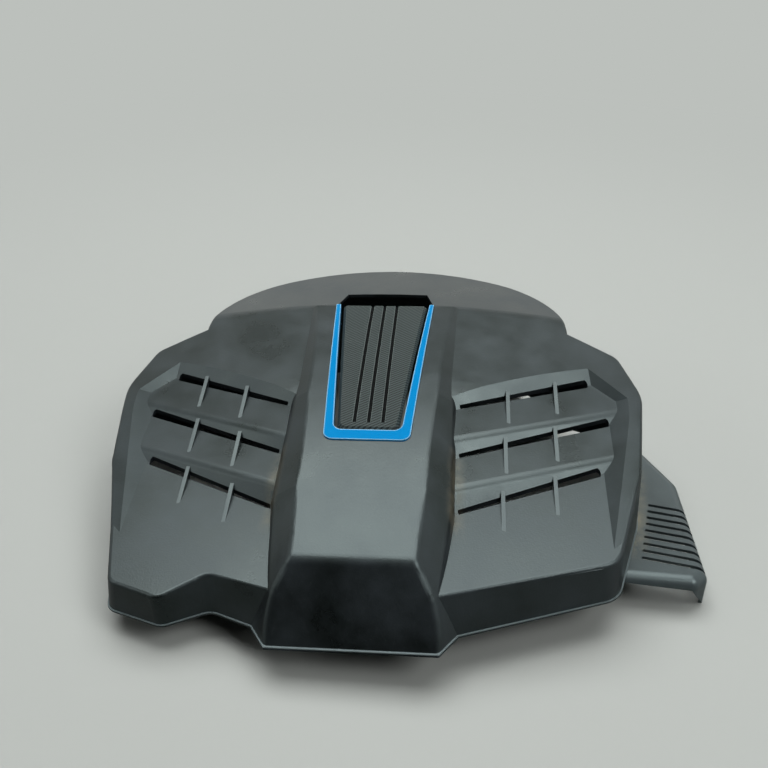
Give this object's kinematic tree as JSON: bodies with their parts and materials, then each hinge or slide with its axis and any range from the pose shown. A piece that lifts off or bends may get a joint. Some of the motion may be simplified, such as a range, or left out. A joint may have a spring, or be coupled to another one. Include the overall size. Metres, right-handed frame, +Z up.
{
  "type": "engine cover",
  "caption": "Moulded plastic engine cover: raised middle spine, stepped louvred panels, blue U-shaped trim round a grooved insert, slotted side vent and push-on rubber sockets.",
  "frame": {"origin": "midway between the mouths of the two front stud sockets", "axes": "+X to the side of the slotted vent, along the longest extent; +Y to the rear crest; +Z up, against the way the cover is pushed on"},
  "size_m": [0.4912, 0.4162, 0.1417],
  "materials": {
    "shell_plastic": "fine-grained moulded charcoal",
    "trim_plastic": "glossy blue lacquer",
    "insert_plastic": "diagonal weave texture, satin",
    "vent_plastic": "moulded charcoal",
    "grommet_rubber": "moulded black"
  },
  "bodies": {
    "root": {"cover_shell": "shell_plastic", "accent_trim": "trim_plastic", "insert_panel": "insert_plastic", "side_vent": "vent_plastic", "front_left_grommet": "grommet_rubber", "front_right_grommet": "grommet_rubber", "rear_left_grommet": "grommet_rubber", "rear_right_grommet": "grommet_rubber"}
  },
  "joints": []
}
